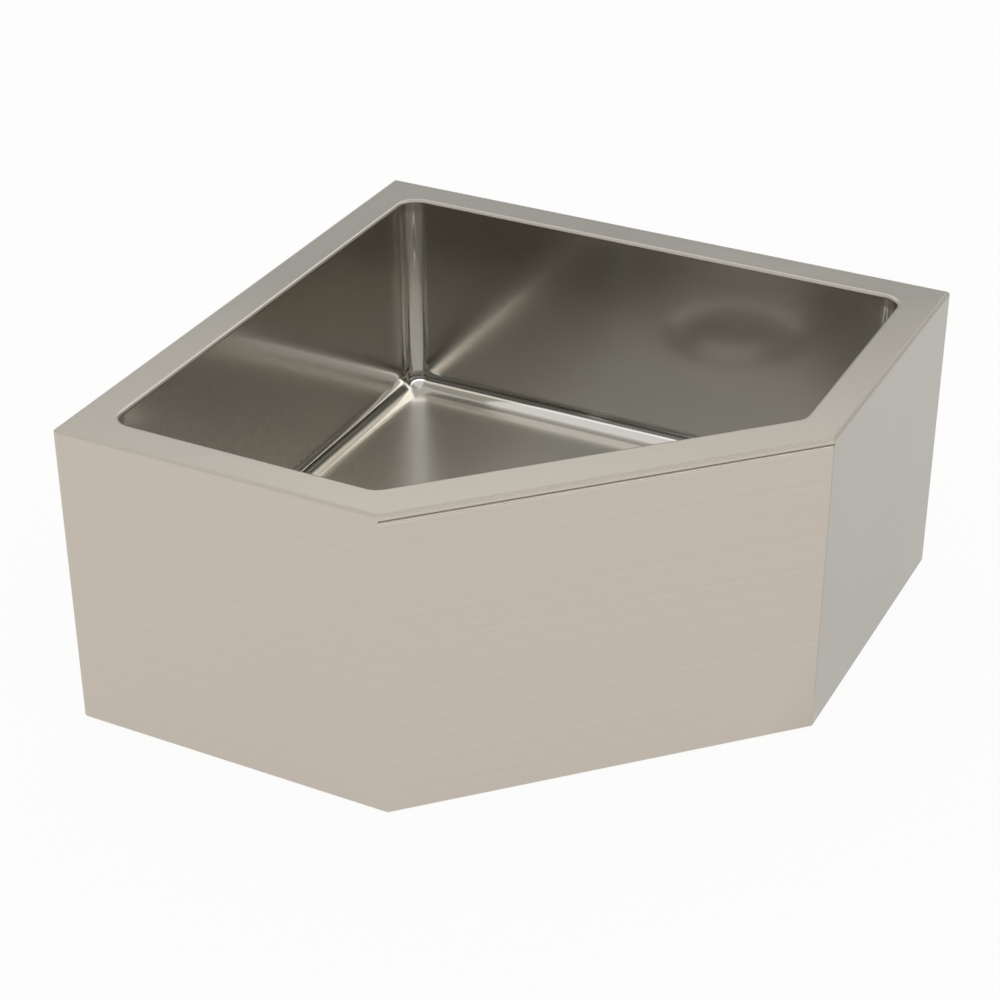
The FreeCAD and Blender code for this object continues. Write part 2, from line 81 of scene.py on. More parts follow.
# %% Corners, mitre lines and directions of the plan
LEG = 0.6096
FRONT_WIDTH = 0.4064
RIM_WIDTH = 0.0365
FRONT_RIM_WIDTH = 0.042
HEIGHT = cad_high.z
Y_FRONT = cad_low.y
SIDES = ["back_right", "back_left", "left", "front", "right"]
SIDE_COUNT = len(SIDES)
# The last direction is the first one again, after a full turn.
FACING = np.radians([45, 135, 225, 270, 315, 405])
SIDE_X = LEG * math.sqrt(0.5)
Y_SIDE = Y_FRONT + SIDE_X - FRONT_WIDTH / 2
Y_BACK = Y_SIDE + SIDE_X
CORNERS = np.array([(0, Y_BACK), (-SIDE_X, Y_SIDE), (-FRONT_WIDTH / 2, Y_FRONT),
                    (FRONT_WIDTH / 2, Y_FRONT), (SIDE_X, Y_SIDE)])
OUTWARD = np.column_stack([np.cos(FACING), np.sin(FACING)])


def corner_steps(first, second):
    """The step at each corner that moves the side before it by first and the side after it by second.

    It solves facing . step = distance for both sides at once.
    """
    pairs = np.stack([OUTWARD[:-1], OUTWARD[1:]], axis=1)
    return np.linalg.solve(pairs, np.column_stack([first, second])[:, :, None])[:, :, 0]


rims = np.array([FRONT_RIM_WIDTH if side == "front" else RIM_WIDTH for side in SIDES])
MITRES = corner_steps(np.ones(SIDE_COUNT), np.ones(SIDE_COUNT))
RIM_STEPS = corner_steps(rims, np.roll(rims, -1))
print("plan corners in mm:", (CORNERS * 1000).round(1).tolist())

# %% Stations along the plan
TURN_STEPS = 17
RUN_STEPS = 24
FIXED = np.hstack([CORNERS, RIM_STEPS, MITRES])


def turn(corner, start=0.0, end=1.0, steps=TURN_STEPS):
    """Stations round one corner, between two shares of its turn.

    Each row holds the sharp corner, its rim step, its mitre line, and the way the corner faces there.
    """
    angle = FACING[corner] + np.linspace(start, end, steps) * (FACING[corner + 1] - FACING[corner])
    return np.column_stack([np.tile(FIXED[corner], (steps, 1)), np.cos(angle), np.sin(angle)])


def run(side, steps=RUN_STEPS):
    """Stations along one side: a blend from the corner before it to the corner after it.

    With an even angle a, share = (1 - cos(a)) / 2, so stations lie closer together near the corners.
    """
    share = (1 - np.cos(np.linspace(0, np.pi, steps + 2)))[1:-1, None] / 2
    blend = (1 - share) * FIXED[side - 1] + share * FIXED[side]
    return np.hstack([blend, np.tile(OUTWARD[side], (steps, 1))])


def between_mitres(side):
    """Stations of one panel, from the mitre plane at its one end to that at the other."""
    half = TURN_STEPS // 2 + 1
    before = (side - 1) % SIDE_COUNT
    return np.vstack([turn(before, 0.5, 1, half), run(side), turn(side, 0, 0.5, half)])


def all_round(run_steps=RUN_STEPS):
    """Stations of a closed loop round all five sides."""
    return np.vstack([np.vstack([run(side, run_steps), turn(side)]) for side in range(SIDE_COUNT)])


def corner_marks(run_steps=RUN_STEPS):
    """1 at the stations of the same loop that go round a corner, and 0 at those along a side."""
    return np.tile(np.repeat([0.0, 1.0], [run_steps, TURN_STEPS]), SIDE_COUNT)


def sweep(stations, share, inset, radius, height):
    """Carries a section round the plan, as rows of section points and columns of stations.

    Place in plan = corner - share * rim step - (inset + radius) * mitre + radius * facing.
    """
    corner, step, mitre, facing = np.split(stations, 4, axis=1)
    share, inset, radius = (np.reshape(value, (-1, 1, 1)) for value in (share, inset, radius))
    plan = corner - share * step - (inset + radius) * mitre + radius * facing
    level = np.broadcast_to(np.reshape(height, (-1, 1, 1)), plan.shape[:2] + (1,))
    return np.concatenate([plan, level], axis=2)


print("stations on one panel:", len(between_mitres(0)), "and all round:", len(all_round()))

# %% [markdown]
# ## From sections to meshes
# A sheet has two faces, so its section is a loop: up the outer line and back down the inner one.
# Carried along the plan, the loop gives a grid of points. A grid turns into quads by index
# arithmetic alone. The UV map is laid in metres, u along the sheet and v across its folds, because
# the brushing of real sheet runs along it and goes over the folds with it.

# %% Bent lines and grids
BEND_STEPS = 9
FLAT_GUARD = 0.0002


def unit(vector):
    """A vector of length one in the same direction."""
    return vector / np.linalg.norm(vector)


def bent_line(points, bends, steps=BEND_STEPS):
    """A line through the points, with an arc of the given radius at each inner point.

    With m the bisector and s its normal, arc = centre + r * (s * sin(a) - m * cos(a)). A point just
    before and just after each arc keeps the smooth shading of the bend off the flats.
    """
    points = np.asarray(points, float)
    rows = [points[:1]]
    for i, bend in enumerate(bends, start=1):
        back, on = unit(points[i - 1] - points[i]), unit(points[i + 1] - points[i])
        half = np.arccos(back @ on) / 2
        middle, side = unit(back + on), unit(on - back)
        angle = np.linspace(half - np.pi / 2, np.pi / 2 - half, steps)[:, None]
        centre = points[i] + middle * bend / np.sin(half)
        arc = centre + bend * (side * np.sin(angle) - middle * np.cos(angle))
        rows += [arc[:1] + FLAT_GUARD * back, arc, arc[-1:] + FLAT_GUARD * on]
    rows.append(points[-1:])
    return np.concatenate(rows)


def lengths(points):
    """Distance travelled along a line of points, from its start to each point."""
    steps = np.linalg.norm(np.diff(points, axis=0), axis=1)
    return np.concatenate([[0], np.cumsum(steps)])


def grid_quads(rows, columns, loop_rows, loop_columns):
    """Corner indices of a grid's quads in the points and in the UV grid, which repeats at a loop."""
    row = np.arange(rows + loop_rows)
    column = np.arange(columns + loop_columns)
    wide = len(column)
    points = (row % rows)[:, None] * columns + (column % columns)[None, :]
    places = row[:, None] * wide + column[None, :]

    def quads(index):
        corners = [index[:-1, :-1], index[:-1, 1:], index[1:, 1:], index[1:, :-1]]
        return np.stack(corners, axis=-1).reshape(-1, 4)

    return quads(points), quads(places)


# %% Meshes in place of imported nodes
SMOOTH_ANGLE = math.radians(32)


def facing_out(points, quads):
    """True if the quads of a closed shape face outwards, because its volume is then positive.

    Volume = sum of a . (b x c + c x d) / 6 over the quads with corners a, b, c and d.
    """
    a, b, c, d = (points[quads[:, k]] for k in range(4))
    volume = np.sum(a * (np.cross(b, c) + np.cross(c, d))) / 6
    return volume >= 0


def make_mesh(name, points, quads, uv, polish_and_painted_light):
    """A mesh from a closed shell: points, quads, UV of every quad's corners, and the polish and painted light
    mark of every point.
    """
    if not facing_out(points, quads):
        quads, uv = quads[:, ::-1], uv[:, ::-1]
    mesh = bpy.data.meshes.new(name)
    mesh.from_pydata(points.tolist(), [], quads.tolist())
    layer = mesh.uv_layers.new(name="sheet")
    layer.data.foreach_set("uv", uv.astype(np.float32).ravel())
    marks = mesh.attributes.new("polish_and_painted_light", "FLOAT", "POINT")
    marks.data.foreach_set("value", polish_and_painted_light.astype(np.float32))
    mesh.shade_smooth()
    mesh.set_sharp_from_angle(angle=SMOOTH_ANGLE)
    mesh.validate()
    return mesh


def add_piece(name, shell, node):
    """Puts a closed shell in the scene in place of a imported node, and prints how far their boxes differ."""
    piece = bpy.data.objects.new(name, make_mesh(name, *shell))
    bpy.context.scene.collection.objects.link(piece)
    points, quads = shell[:2]
    low, high = (np.array(end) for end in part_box(node))
    gap = max(np.abs(points.min(0) - low).max(), np.abs(points.max(0) - high).max())
    print(name, "quads:", len(quads), "box differs by mm:", round(gap * 1000, 3))
    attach(piece, "sink")
    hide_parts(node)
    dressed.append((piece, node))


slot_of = {part["node"]: part["material_slot"] for part in frame["record"]["subparts"]}
dressed = []

# %% [markdown]
# ## Rim, skirt and hem
# Each wall panel and each return is one sheet: a hem turned in on the floor, the skirt, the flat rim
# and a short drop into the bowl. The corners are mitred and welded. A box with bevels would lose the
# thin sheet and its open underside, so the real section is drawn and carried between mitre planes.

# %% The folded section and the panels made from it
SHEET = 0.0016
RIM_DROP = 0.012
EDGE_BEND = 0.0032
LEAST_BEND = 0.0002
COVE = 0.01905
HEM_WIDTH = 0.016


def section(line, rim):
    """Rim share, inset, corner radius and height of each point of a line of (inset, height).

    Past the middle of the rim a point is measured from the bowl, and elsewhere from the outer face. A
    sheet that doesn't reach the bowl is given an endless rim. The corner radius shrinks as the inset
    grows, as it does on every offset of a round corner.
    """
    inset, height = line.T
    share = (inset > rim / 2).astype(float)
    inset = np.where(share > 0, inset - rim, inset)
    radius = np.where(share > 0, COVE - inset, np.maximum(EDGE_BEND - inset, LEAST_BEND))
    return np.column_stack([share, inset, radius, height])


def sheet_shell(stations, outer, inner, side):
    """A bent sheet between two end planes: its loop of section points carried along the stations.

    outer and inner are matching sections. In the UV map u runs along the given side. The last array
    is the polish and painted light mark: 0 on the flats, 1 on the drop into the bowl, which is smoother
    and painted with shade, and -1 on the bend at the rim's outer edge.
    """
    loop = np.concatenate([outer, inner[::-1]])
    grid = sweep(stations, *loop.T)
    rows, columns = grid.shape[:2]
    polish_and_painted_light = loop[:, 0] * np.clip(1 + loop[:, 1] / EDGE_BEND, 0, 1)
    polish_and_painted_light[(loop[:, 0] == 0) & (loop[:, 1] < EDGE_BEND) & (loop[:, 3] > HEIGHT - EDGE_BEND)] = -1
    quads, places = grid_quads(rows, columns, 1, 0)
    middle = grid[:, columns // 2]
    across = lengths(np.concatenate([middle, middle[:1]]))
    along = np.array([-OUTWARD[side][1], OUTWARD[side][0]])
    u = grid[:, :, :2] @ along
    u = np.concatenate([u, u[:1]])
    uv = np.stack([u, np.broadcast_to(across[:, None], u.shape)], axis=-1).reshape(-1, 2)[places]
    level = np.arange(len(outer) - 1)
    opposite = rows - 1 - level
    cap = np.stack([level, level + 1, opposite - 1, opposite], axis=1) * columns
    caps = np.concatenate([cap, cap[:, ::-1] + columns - 1])
    cap_uv = np.tile(np.array([(0, 0), (0, SHEET), (SHEET, SHEET), (SHEET, 0)]), (len(caps), 1, 1))
    faces = np.concatenate([quads, caps]), np.concatenate([uv, cap_uv])
    return grid.reshape(-1, 3), *faces, np.repeat(polish_and_painted_light, columns)


def folded_line(gap):
    """The folded section at a depth below its outer face, from the hem's edge to the foot of the drop."""
    points = [(HEM_WIDTH, gap), (gap, gap), (gap, HEIGHT - gap), (RIM_WIDTH - gap, HEIGHT - gap),
              (RIM_WIDTH - gap, HEIGHT - RIM_DROP)]
    return bent_line(points, [EDGE_BEND - gap] * 3)


def panel_shell(side):
    """One panel of rim, skirt and hem between its mitre planes."""
    outer, inner = (section(folded_line(gap), RIM_WIDTH) for gap in (0, SHEET))
    return sheet_shell(between_mitres(side), outer, inner, side)


for name in ("back_right", "back_left", "left", "right"):
    add_piece(name + "_sheet", panel_shell(SIDES.index(name)), name + "_panel")

# %% [markdown]
# ## Front rim and apron
# The diagonal front is made of two pieces. The edge of the rim strip is rolled back under, and the
# apron's top edge is turned in against that roll, so a narrow groove runs between the two from corner
# to corner. The roll shows a bright line and the groove a dark one.

# %% The front rim and the apron
LIP_FACE = 0.0006
LIP_RETURN = 0.018
APRON_FLANGE = 0.024
LIP_Z = HEIGHT - 2 * EDGE_BEND - LIP_FACE
FRONT = SIDES.index("front")


def front_rim_line(gap):
    """The front rim's section at a depth below its outer face: return, roll, flat rim and drop."""
    points = [(LIP_RETURN, LIP_Z + gap), (gap, LIP_Z + gap), (gap, HEIGHT - gap),
              (FRONT_RIM_WIDTH - gap, HEIGHT - gap), (FRONT_RIM_WIDTH - gap, HEIGHT - RIM_DROP)]
    return bent_line(points, [EDGE_BEND - gap] * 3)


def apron_line(gap):
    """The apron's section at a depth below its outer face: hem, face and top flange."""
    points = [(HEM_WIDTH, gap), (gap, gap), (gap, LIP_Z - gap), (APRON_FLANGE, LIP_Z - gap)]
    return bent_line(points, [EDGE_BEND - gap] * 2)


front_pieces = [("front_rim", front_rim_line, FRONT_RIM_WIDTH), ("front_apron", apron_line, math.inf)]
for name, line, rim in front_pieces:
    faces = [section(line(gap), rim) for gap in (0, SHEET)]
    add_piece(name + "_sheet", sheet_shell(between_mitres(FRONT), *faces, FRONT), name)

# %% [markdown]
# ## The bowl
# The bowl has a band of walls bent to a cove at each corner, and a floor pan that turns up into the
# walls. Where two walls and the floor meet, the coves join in a ball corner. Moving the outline in
# while its corner radius shrinks by the same amount makes that ball exactly, with no patching.

# %% Bowl walls
FLOOR_HEIGHT = 0.0864
WALL_TOP = HEIGHT - RIM_DROP
PAN_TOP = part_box("bowl_walls")[0].z


def closed_grid(grid, polish_and_painted_light, planar=None):
    """Points, quads, UV and the polish and painted light mark of a grid whose rows and columns both close.

    The UV is u along the columns and v across the rows, or plan coordinates on the planar rows.
    """
    rows, columns = grid.shape[:2]
    quads, places = grid_quads(rows, columns, 1, 1)
    wide = np.concatenate([grid, grid[:1]])
    wide = np.concatenate([wide, wide[:, :1]], axis=1)
    u, v = np.broadcast_arrays(lengths(wide[0])[None, :], lengths(wide[:, 0])[:, None])
    uv = np.stack([u, v], axis=-1).reshape(-1, 2)[places]
    if planar is not None:
        flat = np.repeat(planar, columns)
        uv[flat] = wide[:, :, :2].reshape(-1, 2)[places][flat]
    return grid.reshape(-1, 3), quads, uv, np.broadcast_to(polish_and_painted_light, (rows, columns)).ravel()


wall_insets = np.array([0, 0, -SHEET, -SHEET])
wall_heights = [PAN_TOP, WALL_TOP, WALL_TOP, PAN_TOP]
walls = sweep(all_round(), np.ones_like(wall_insets), wall_insets, COVE - wall_insets, wall_heights)
add_piece("bowl_wall_band", closed_grid(walls, corner_marks()), "bowl_walls")

# %% [markdown]
# ## The floor pan
# From the upstand the section goes down the cove to the flat floor. There the five-sided loop has to
# turn into the round drain seat, so the flat is a straight blend from each loop point to the point
# of the circle in the same direction. The seat itself is a dish with an easy S-shaped slope.

# %% Bowl floor with its dished drain seat
DISH_DEPTH = 0.006
DISH_SLOPE = 0.014
DISH_BLEND = 0.010
SEAT_RADIUS = 0.07005
HOLE_RADIUS = 0.05705
DISH_RADIUS = SEAT_RADIUS + DISH_SLOPE
DRAIN = np.array([0.0, Y_SIDE])
FLAT_CORNER = 0.002
COVE_STEPS = 17
FLOOR_RUN_STEPS = 40
UPSTAND_ROWS = 2
FLAT_ROWS = 8
FIRST_FLAT_SHARE = 0.005
FLAT_SHARES = np.linspace(0, 1, FLAT_ROWS, endpoint=False)
FLAT_SHARES[0] = FIRST_FLAT_SHARE


def dish_line(gap):
    """Section of the dish at a depth below its upper face, from the flat floor in to the hole."""
    slope = math.atan2(DISH_DEPTH, DISH_SLOPE)
    shift = gap * math.tan(slope / 2)
    level = FLOOR_HEIGHT - gap
    points = [(DISH_RADIUS + DISH_BLEND, level), (DISH_RADIUS - shift, level),
              (SEAT_RADIUS - shift, level - DISH_DEPTH), (HOLE_RADIUS, level - DISH_DEPTH)]
    return bent_line(points, [DISH_BLEND - gap, DISH_BLEND + gap])


def pan_face(gap):
    """One face of the pan, as rows from the upstand's edge to the drain hole.

    Cove: inset and height follow a quarter circle while the corner radius shrinks with the inset.
    Flat: (1 - share) * loop + share * circle, where the first share is small and keeps the smooth
    shading of the cove off the floor. Dish: circles about the drain.
    """
    angle = np.linspace(0, np.pi / 2, COVE_STEPS)
    cove = COVE + gap
    inset = COVE - cove * np.cos(angle)
    height = FLOOR_HEIGHT + COVE - cove * np.sin(angle)
    inset = np.concatenate([np.repeat(inset[:1], UPSTAND_ROWS), inset])
    height = np.concatenate([[PAN_TOP, height[0] + FLAT_GUARD], height])
    stations = all_round(FLOOR_RUN_STEPS)
    outer = sweep(stations, np.ones_like(inset), inset, np.maximum(COVE - inset, FLAT_CORNER), height)
    edge = outer[-1, :, :2]
    away = (edge - DRAIN) / np.linalg.norm(edge - DRAIN, axis=1, keepdims=True)
    line = dish_line(gap)
    round_plan = DRAIN + line[:, 0, None, None] * away
    round_level = np.broadcast_to(line[:, 1, None, None], round_plan.shape[:2] + (1,))
    dish = np.concatenate([round_plan, round_level], axis=2)
    share = FLAT_SHARES[:, None, None]
    flat = (1 - share) * outer[-1] + share * dish[0]
    return np.concatenate([outer, flat, dish]), len(outer)


upper, cove_rows = pan_face(0.0)
under, _ = pan_face(SHEET)
pan = np.concatenate([upper, under[::-1]])
face_rows = np.arange(len(pan))
planar_rows = (face_rows >= cove_rows - 1) & (face_rows < len(pan) - cove_rows)
in_cove = (face_rows > UPSTAND_ROWS) & (face_rows < cove_rows - 1)
upstand = face_rows <= UPSTAND_ROWS
pan_polish_and_painted_light = np.maximum(in_cove[:, None], upstand[:, None] * corner_marks(FLOOR_RUN_STEPS))
add_piece("bowl_floor_pan", closed_grid(pan, pan_polish_and_painted_light, planar_rows), "bowl_floor")

# %% [markdown]
# ## Finishes
# Satin stainless is a metal with a soft, slightly warm reflection. Its brushing is made of fine lines
# along the sheet, turned pieces have rings about their axis, and cast or moulded pieces have a grain.
# Each of these serves several finishes, so each is a node group that gives a fine and a broad
# pattern, and every finish places one of them with its own values.

# %% Helpers for nodes


def add_node(tree, kind, inputs=None, **settings):
    """Adds a shader node, and links or sets each of the given inputs."""
    node = tree.nodes.new("ShaderNode" + kind)
    for name, value in settings.items():
        setattr(node, name, value)
    for name, value in (inputs or {}).items():
        if isinstance(value, bpy.types.NodeSocket):
            tree.links.new(value, node.inputs[name])
        else:
            node.inputs[name].default_value = value
    return node


def mix_tones(tree, share, first, second):
    """A colour that is the first tone at a share of 0 and the second at 1."""
    sockets = {"Factor": share, "A": first, "B": second}
    return add_node(tree, "Mix", sockets, data_type="RGBA").outputs["Result"]


def new_group(name, inputs, outputs):
    """An empty shader node group with the given sockets, and its input and output nodes."""
    group = bpy.data.node_groups.new(name, "ShaderNodeTree")
    for kind, sockets in (("INPUT", inputs), ("OUTPUT", outputs)):
        for socket, form in sockets:
            group.interface.new_socket(name=socket, in_out=kind, socket_type="NodeSocket" + form)
    return group, group.nodes.new("NodeGroupInput"), group.nodes.new("NodeGroupOutput")


# %% Node groups for brushing, turning, grain and clouds
BROAD_SHARE = 0.16
PATTERN_DETAIL = 3.0
CLOUD_DETAIL = 2.0
CLOUD_LOW = 0.3
CLOUD_HIGH = 0.7
PATTERN = [("Fine", "Float"), ("Broad", "Float")]


def fine_and_broad(group, result, vector):
    """Feeds a group's two outputs from one noise at full scale and one at a small share of it."""
    for output, share in (("Fine", 1.0), ("Broad", BROAD_SHARE)):
        noise = add_node(group, "TexNoise", {"Vector": vector, "Scale": share, "Detail": PATTERN_DETAIL})
        group.links.new(noise.outputs["Fac"], result.inputs[output])


def brushed_lines():
    """Lines along u: a noise whose coordinates are stretched by one scale along and one across."""
    sockets = [("Vector", "Vector"), ("Along", "Float"), ("Across", "Float")]
    group, given, result = new_group("brushed_lines", sockets, PATTERN)
    across = given.outputs["Across"]
    scale = add_node(group, "CombineXYZ", {"X": given.outputs["Along"], "Y": across, "Z": across})
    spread = add_node(group, "VectorMath", {0: given.outputs["Vector"], 1: scale.outputs[0]},
                      operation="MULTIPLY")
    fine_and_broad(group, result, spread.outputs[0])
    return group


def turned_rings():
    """Rings about the drain's axis: a noise of the distance from the axis and the height."""
    group, given, result = new_group("turned_rings", [("Vector", "Vector"), ("Scale", "Float")], PATTERN)
    place = add_node(group, "VectorMath", {0: given.outputs["Vector"], 1: (*DRAIN, 0)}, operation="SUBTRACT")
    axes = add_node(group, "SeparateXYZ", {0: place.outputs[0]})
    flat = add_node(group, "CombineXYZ", {"X": axes.outputs["X"], "Y": axes.outputs["Y"]})
    away = add_node(group, "VectorMath", {0: flat.outputs[0]}, operation="LENGTH")
    ring = add_node(group, "CombineXYZ", {"X": away.outputs["Value"], "Y": axes.outputs["Z"]})
    spread = add_node(group, "VectorMath", {0: ring.outputs[0], "Scale": given.outputs["Scale"]},
                      operation="SCALE")
    fine_and_broad(group, result, spread.outputs[0])
    return group


def even_grain():
    """The same grain in every direction, as on cast, moulded and rolled pieces."""
    group, given, result = new_group("even_grain", [("Vector", "Vector"), ("Scale", "Float")], PATTERN)
    spread = add_node(group, "VectorMath", {0: given.outputs["Vector"], "Scale": given.outputs["Scale"]},
                      operation="SCALE")
    fine_and_broad(group, result, spread.outputs[0])
    return group


def soft_clouds():
    """Wide soft patches: one low noise, with its middle stretched to the range 0 to 1."""
    sockets = [("Vector", "Vector"), ("Scale", "Float")]
    group, given, result = new_group("soft_clouds", sockets, [("Mask", "Float")])
    noise = add_node(group, "TexNoise", {"Vector": given.outputs["Vector"], "Scale": given.outputs["Scale"],
                                         "Detail": CLOUD_DETAIL})
    spread = add_node(group, "MapRange", {"Value": noise.outputs["Fac"], "From Min": CLOUD_LOW,
                                          "From Max": CLOUD_HIGH})
    group.links.new(spread.outputs["Result"], result.inputs["Mask"])
    return group


BRUSHED, TURNED, GRAIN, CLOUDS = brushed_lines(), turned_rings(), even_grain(), soft_clouds()
print("node groups:", len(bpy.data.node_groups))

# %% One recipe for every finish
CLOUD_SCALE = 4.0
SHEET_LINES = {"Along": 5.0, "Across": 1400.0}
FINISHES = {}


def use_group(tree, group, vector, **values):
    """Places a node group on the given coordinates, with its own values."""
    node = tree.nodes.new("ShaderNodeGroup")
    node.node_tree = group
    tree.links.new(vector, node.inputs["Vector"])
    for socket, value in values.items():
        node.inputs[socket].default_value = value
    return node


def finish(name, light, dark, rough, group, relief, metallic=1.0, **values):
    """A material: tone from the broad pattern, gloss from clouds, relief in metres from the fine pattern."""
    material = bpy.data.materials.new(name)
    material.use_nodes = True
    tree = material.node_tree
    shader = tree.nodes["Principled BSDF"]
    shader.inputs["Metallic"].default_value = metallic
    place = add_node(tree, "TexCoord")
    pattern = use_group(tree, group, place.outputs["UV" if group == BRUSHED else "Object"], **values)
    clouds = use_group(tree, CLOUDS, place.outputs["Object"], Scale=CLOUD_SCALE)
    tone = mix_tones(tree, pattern.outputs["Broad"], (*dark, 1), (*light, 1))
    gloss = add_node(tree, "MapRange", {"Value": clouds.outputs["Mask"], "To Min": rough[0],
                                        "To Max": rough[1]})
    bump = add_node(tree, "Bump", {"Height": pattern.outputs["Fine"], "Strength": 1.0, "Distance": relief})
    tree.links.new(tone, shader.inputs["Base Color"])
    tree.links.new(gloss.outputs["Result"], shader.inputs["Roughness"])
    tree.links.new(bump.outputs["Normal"], shader.inputs["Normal"])
    FINISHES[name] = material


finish("satin_steel", (0.61, 0.567, 0.50), (0.57, 0.53, 0.467), (0.21, 0.27), BRUSHED, 0.00002,
       **SHEET_LINES)
# The bowl's tone is darker than the skirt's for the same steel: painted shade of the bowl's inside.
finish("bowl_steel", (0.435, 0.41, 0.364), (0.41, 0.386, 0.34), (0.165, 0.205), BRUSHED, 0.000003,
       **SHEET_LINES)
finish("channel_steel", (0.56, 0.56, 0.55), (0.46, 0.46, 0.46), (0.32, 0.45), GRAIN, 0.00002, Scale=500.0)
finish("damping_pad", (0.060, 0.058, 0.055), (0.035, 0.034, 0.033), (0.75, 0.9), GRAIN, 0.0002,
       metallic=0.0, Scale=450.0)
finish("drain_steel", (0.67, 0.65, 0.61), (0.60, 0.58, 0.54), (0.20, 0.28), TURNED, 0.00001, Scale=2500.0)
finish("seal_rubber", (0.045, 0.044, 0.043), (0.02, 0.02, 0.02), (0.55, 0.75), GRAIN, 0.00005,
       metallic=0.0, Scale=900.0)
finish("slip_plastic", (0.78, 0.76, 0.71), (0.70, 0.68, 0.62), (0.4, 0.55), GRAIN, 0.00002,
       metallic=0.0, Scale=700.0)
finish("nut_brass", (0.72, 0.56, 0.30), (0.55, 0.40, 0.20), (0.35, 0.55), GRAIN, 0.00008, Scale=600.0)
finish("strainer_steel", (0.70, 0.68, 0.64), (0.63, 0.61, 0.57), (0.14, 0.2), TURNED, 0.000006,
       Scale=2500.0)
print("finishes:", list(FINISHES))

# %% [markdown]
# ## What work, use and painted light do to the steel
# The bowl is brushed finer than the skirt, so a thin sharp gloss lies over its soft one. Its coves are
# polished by hand after welding, which makes them smoother, and their brighter tone is a painted
# highlight. Near the floor it is worn rougher by buckets, and its paler tone there is partly that wear
# and partly painted light. The rim's drop into the bowl is smoother than its flats and painted darker
# as shade, and bending leaves its outer edge dull. The polish and painted light attribute of the meshes
# marks the coves, the drop and that edge, and the wear and paler tone go by height. Each change is laid
# over what already feeds the shader, so one recipe still serves every finish.

# %% Changes that are laid over a finish


def feed_of(material, socket):
    """A socket of the shader, and what feeds it so far."""
    fed = material.node_tree.nodes["Principled BSDF"].inputs[socket]
    return fed, fed.links[0].from_socket


def lay_tone(material, share, tone):
    """Tone = (1 - share) * what it was + share * tone, with the share held between 0 and 1."""
    fed, before = feed_of(material, "Base Color")
    material.node_tree.links.new(mix_tones(material.node_tree, share, before, tone), fed)


def lay_roughness(material, share, value):
    """Roughness = (1 - share) * what it was + share * value, with the share held between 0 and 1."""
    fed, before = feed_of(material, "Roughness")
    mix = add_node(material.node_tree, "Mix", {"Factor": share, "A": before, "B": value})
    material.node_tree.links.new(mix.outputs["Result"], fed)


def add_scuffs(material, share, value):
    """Roughness = what it was + share * value."""
    fed, before = feed_of(material, "Roughness")
    rougher = add_node(material.node_tree, "Math", {0: share, 1: value, 2: before}, operation="MULTIPLY_ADD")
    material.node_tree.links.new(rougher.outputs[0], fed)


def polish_and_painted_light_mark(material):
    """The polish and painted light mark of a piece's own mesh: 1 where it is polished and its tone is painted
    light, a highlight on the bowl's coves and shade on the rim's drop, and -1 where bending left it dull.
    """
    return add_node(material.node_tree, "Attribute", attribute_name="polish_and_painted_light").outputs["Fac"]


def near_floor(material, reach):
    """A share that grows from 0 at a height above the bowl's floor to 1 on the floor."""
    tree = material.node_tree
    place = add_node(tree, "TexCoord").outputs["Object"]
    height = add_node(tree, "SeparateXYZ", {0: place}).outputs["Z"]
    share = add_node(tree, "MapRange", {"Value": height, "From Min": FLOOR_HEIGHT + reach,
                                        "From Max": FLOOR_HEIGHT})
    return share.outputs["Result"]


# %% Polished, dull and worn steel
# The drop's darker tone is painted shade, as on the bowl's inside; its lower roughness is its polish.
PAINTED_DROP_SHADE = (0.45, 0.425, 0.38, 1)
DROP_ROUGHNESS = 0.18
BEND_ROUGHNESS = 0.6
# The coves' brighter tone is a painted highlight; their polish is the lower roughness.
PAINTED_COVE_HIGHLIGHT = (0.68, 0.66, 0.615, 1)
COVE_ROUGHNESS = 0.09
WORN_AND_PAINTED_LIGHT_TONE = (0.82, 0.795, 0.75, 1)
SCUFF_ROUGHNESS = 0.06
SCUFF_REACH = 0.006
SHARP_GLOSS = {"Coat Weight": 0.5, "Coat Roughness": 0.06, "Coat IOR": 1.6}

skirt = FINISHES["satin_steel"]
polished_and_painted = polish_and_painted_light_mark(skirt)
dull = add_node(skirt.node_tree, "Math", {0: polished_and_painted, 1: -1.0}, operation="MULTIPLY").outputs[0]
lay_roughness(skirt, polished_and_painted, DROP_ROUGHNESS)
lay_roughness(skirt, dull, BEND_ROUGHNESS)
# Painted shade on the rim's drop into the bowl.
lay_tone(skirt, polished_and_painted, PAINTED_DROP_SHADE)

bowl = FINISHES["bowl_steel"]
polished_and_painted = polish_and_painted_light_mark(bowl)
lay_roughness(bowl, polished_and_painted, COVE_ROUGHNESS)
add_scuffs(bowl, near_floor(bowl, SCUFF_REACH), SCUFF_ROUGHNESS)
# Paler towards the floor: partly bucket wear, partly painted light on the floor and on the lower coves.
lay_tone(bowl, near_floor(bowl, COVE), WORN_AND_PAINTED_LIGHT_TONE)
# Painted highlight on the coves.
lay_tone(bowl, polished_and_painted, PAINTED_COVE_HIGHLIGHT)
for socket, value in SHARP_GLOSS.items():
    bowl.node_tree.nodes["Principled BSDF"].inputs[socket].default_value = value
print("nodes in the bowl's finish:", len(bowl.node_tree.nodes))

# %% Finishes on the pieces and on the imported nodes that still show
for piece, node in dressed:
    piece.data.materials.append(FINISHES[slot_of[node]])
for node, shape in frame["nodes"].items():
    if not shape.hide_render:
        shape.data.materials.clear()
        shape.data.materials.append(FINISHES[slot_of[node]])
print("finished pieces:", len(dressed), "and nodes:", len(frame["nodes"]) - len(dressed))

# %% [markdown]
# ## Camera
# The photograph was taken from above and a little to the left with a long lens. The eye, the point
# it looks at and the small roll were solved from the corners of the sink.

